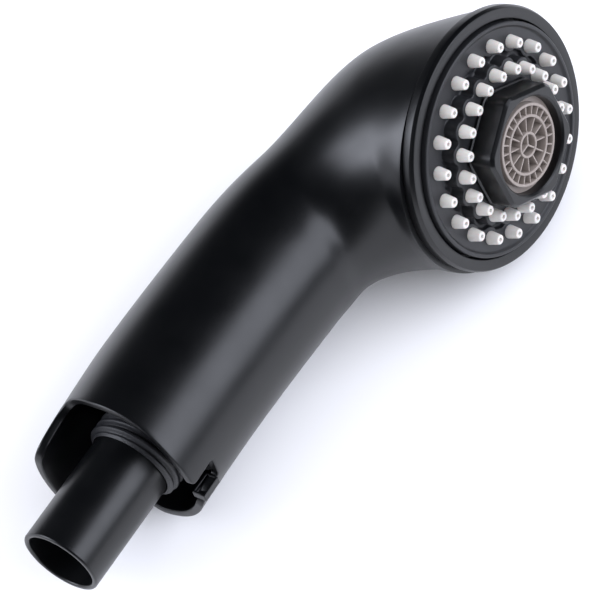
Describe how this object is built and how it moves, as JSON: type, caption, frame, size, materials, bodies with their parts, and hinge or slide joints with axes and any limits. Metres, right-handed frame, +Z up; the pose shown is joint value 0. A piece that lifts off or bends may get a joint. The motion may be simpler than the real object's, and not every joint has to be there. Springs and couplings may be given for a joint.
{
  "type": "pull-down kitchen spray handset",
  "caption": "Black pull-down kitchen faucet spray handset: bent one-piece shell, open skirt with threaded inlet and hose guide, nozzle face and hexagonal aerator collar.",
  "frame": {"origin": "centre of the open end of the hose guide sleeve, on the sleeve's axis", "axes": "+X runs along the handle from the guide's mouth to the head; +Z is up while the handset lies on its flank, with handle and head both on the surface; the spray face looks towards -Y and 22.5 degrees up"},
  "size_m": [0.1533, 0.063, 0.0569],
  "materials": {
    "shell_black": "satin black moulded ABS",
    "face_black": "fine-textured black ABS",
    "collar_black": "satin black acetal",
    "silicone_grey": "light grey silicone, soft sheen",
    "taupe_acetal": "taupe acetal, satin",
    "natural_acetal": "natural acetal, satin",
    "seal_rubber": "black EPDM",
    "stainless": "stainless steel, plain"
  },
  "bodies": {
    "handset": {"body_shell": "shell_black", "bezel_ring": "shell_black", "face_plate": "face_black", "nozzle_mat": "silicone_grey", "backing_plate": "natural_acetal", "cup_gasket": "seal_rubber", "plate_screws": "stainless", "waterway_body": "natural_acetal", "seat_plate": "taupe_acetal", "inlet_boss": "shell_black", "lock_nut": "face_black", "guide_sleeve": "shell_black", "spigot_seal": "seal_rubber", "hose_washer": "seal_rubber", "check_housing": "natural_acetal"},
    "selector": {"selector_collar": "collar_black", "collar_seal": "seal_rubber", "aerator_seal": "seal_rubber", "aerator_housing": "taupe_acetal", "jet_plate": "natural_acetal", "mixing_screens": "stainless", "aerator_grid": "taupe_acetal", "diverter_disc": "natural_acetal", "spindle_screw": "stainless"},
    "valve": {"check_poppet": "natural_acetal", "check_seal": "seal_rubber", "check_spring": "stainless"}
  },
  "joints": [
    {"name": "selector_turn", "type": "hinge", "parent": "handset", "child": "selector", "pos_m": [0.1248, -0.0291, 0.01205], "axis": [0, -0.9239, 0.3827], "range_deg": [0, 60]},
    {"name": "check_valve", "type": "slide", "parent": "handset", "child": "valve", "axis": [1, 0, 0], "range_m": [0, 0.0025], "stiffness_N_per_m": 120, "springref_m": -0.002, "deforming": ["check_spring"]}
  ]
}
